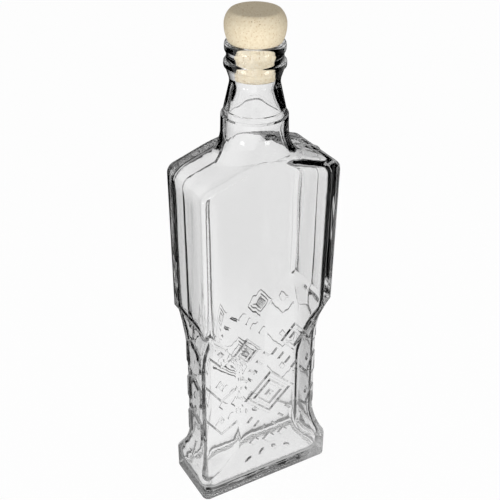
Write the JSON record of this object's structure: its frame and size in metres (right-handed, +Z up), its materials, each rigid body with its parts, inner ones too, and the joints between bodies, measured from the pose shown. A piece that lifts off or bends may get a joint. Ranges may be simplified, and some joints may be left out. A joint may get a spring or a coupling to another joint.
{
  "type": "stoppered glass bottle",
  "caption": "Clear moulded glass bottle with a rectangular shouldered body, a scooped and carved waist, a wide foot and a pull-out T-stopper in its neck.",
  "frame": {"origin": "the middle of the foot, on the plane that the bottle stands on, under the neck's axis", "axes": "+Z up along the neck, +X along the wide way of the body, -Y out of the front panel"},
  "size_m": [0.086, 0.0428, 0.2913],
  "materials": {
    "clear_glass": "polished, fire-bright moulded soda-lime glass",
    "cork_head": "matte, finely speckled pressed cork",
    "cork_shank": "matte, finely speckled pressed cork"
  },
  "bodies": {
    "bottle": {"bottle": "clear_glass"},
    "stopper": {"stopper_head": "cork_head", "stopper_shank": "cork_shank"}
  },
  "joints": [
    {"name": "stopper_pull", "type": "slide", "parent": "bottle", "child": "stopper", "axis": [0, 0, 1], "range_m": [0, 0.045]}
  ]
}
